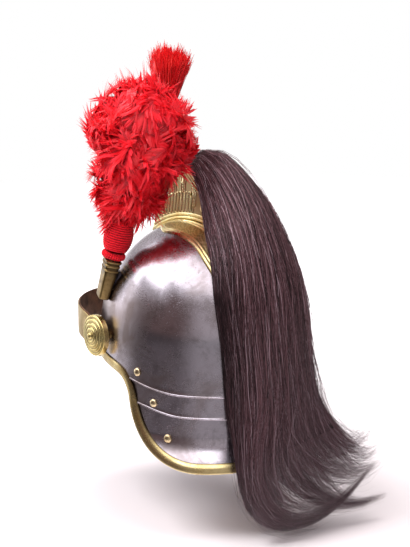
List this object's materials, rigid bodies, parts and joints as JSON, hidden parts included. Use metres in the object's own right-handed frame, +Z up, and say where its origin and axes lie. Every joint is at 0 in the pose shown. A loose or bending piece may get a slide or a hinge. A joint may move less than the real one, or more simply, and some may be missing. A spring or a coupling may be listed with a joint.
{
  "type": "cuirassier helmet",
  "caption": "Steel cavalry helmet with a lamed neck guard, brass crest with a horsehair mane, red tuft, side plume with a thread-wound olive, rosettes and chin strap.",
  "frame": {"origin": "middle of the head opening at the height of the chin strap axis, on the plane of symmetry", "axes": "+X to the wearer's left, -Y to the front, +Z up"},
  "size_m": [0.2316, 0.3213, 0.4888],
  "materials": {
    "skull_steel": "worn polish with faint rust specks",
    "lame_steel": "worn polish with faint rust specks",
    "edging_brass": "aged satin",
    "rivet_brass": "polished domes",
    "crest_brass": "aged satin with dark recesses",
    "root_leather": "matte",
    "mane_hair": "dark brown horsehair with a soft sheen",
    "socket_brass": "aged satin",
    "tuft_thread": "bound red thread",
    "tuft_hair": "dyed stiff hair",
    "holder_brass": "dull and aged",
    "bracket_steel": "dull",
    "stem_wood": "turned and bare",
    "plume_thread": "wound wool thread",
    "plume_feathers": "dyed cock feathers",
    "rosette_brass": "aged satin",
    "stud_steel": "dull",
    "strap_leather": "worn dark leather",
    "strap_brass": "thin sheet, aged and pale",
    "liner_leather": "matte"
  },
  "bodies": {
    "helmet": {"skull": "skull_steel", "middle_lame": "lame_steel", "lower_lame": "lame_steel", "neck_edging": "edging_brass", "neck_rivets": "rivet_brass", "back_strips": "edging_brass", "visor": "skull_steel", "visor_edging": "edging_brass", "crest_base": "crest_brass", "crest_left_plate": "crest_brass", "crest_right_plate": "crest_brass", "crest_front_plate": "crest_brass", "crest_cap": "crest_brass", "crest_channel": "crest_brass", "mane_root": "root_leather", "mane": "mane_hair", "tuft_socket": "socket_brass", "plume_holder": "holder_brass", "holder_bracket": "bracket_steel", "left_rosette": "rosette_brass", "right_rosette": "rosette_brass", "left_stud": "stud_steel", "right_stud": "stud_steel", "sweatband": "liner_leather", "lining_leaves": "liner_leather"},
    "chin_strap": {"strap_lining": "strap_leather", "strap_facing_left": "strap_brass", "strap_facing_right": "strap_brass", "strap_clasp": "rosette_brass", "strap_eyelets": "rivet_brass"},
    "plume": {"plume_stem": "stem_wood", "plume_collar": "plume_thread", "olive_core": "stem_wood", "olive_winding": "plume_thread", "feathers": "plume_feathers"},
    "tuft": {"tuft": "tuft_hair", "tuft_plug": "tuft_thread"}
  },
  "joints": [
    {"name": "chin_strap_swing", "type": "hinge", "parent": "helmet", "child": "chin_strap", "pos_m": [0, -0.046, 0], "axis": [1, 0, 0], "range_deg": [0, 65]},
    {"name": "plume_lift", "type": "slide", "parent": "helmet", "child": "plume", "axis": [-0.1235, 0.276, 0.9532], "range_m": [0, 0.034]},
    {"name": "tuft_lift", "type": "slide", "parent": "helmet", "child": "tuft", "axis": [0, 0.1271, 0.9919], "range_m": [0, 0.016]}
  ]
}
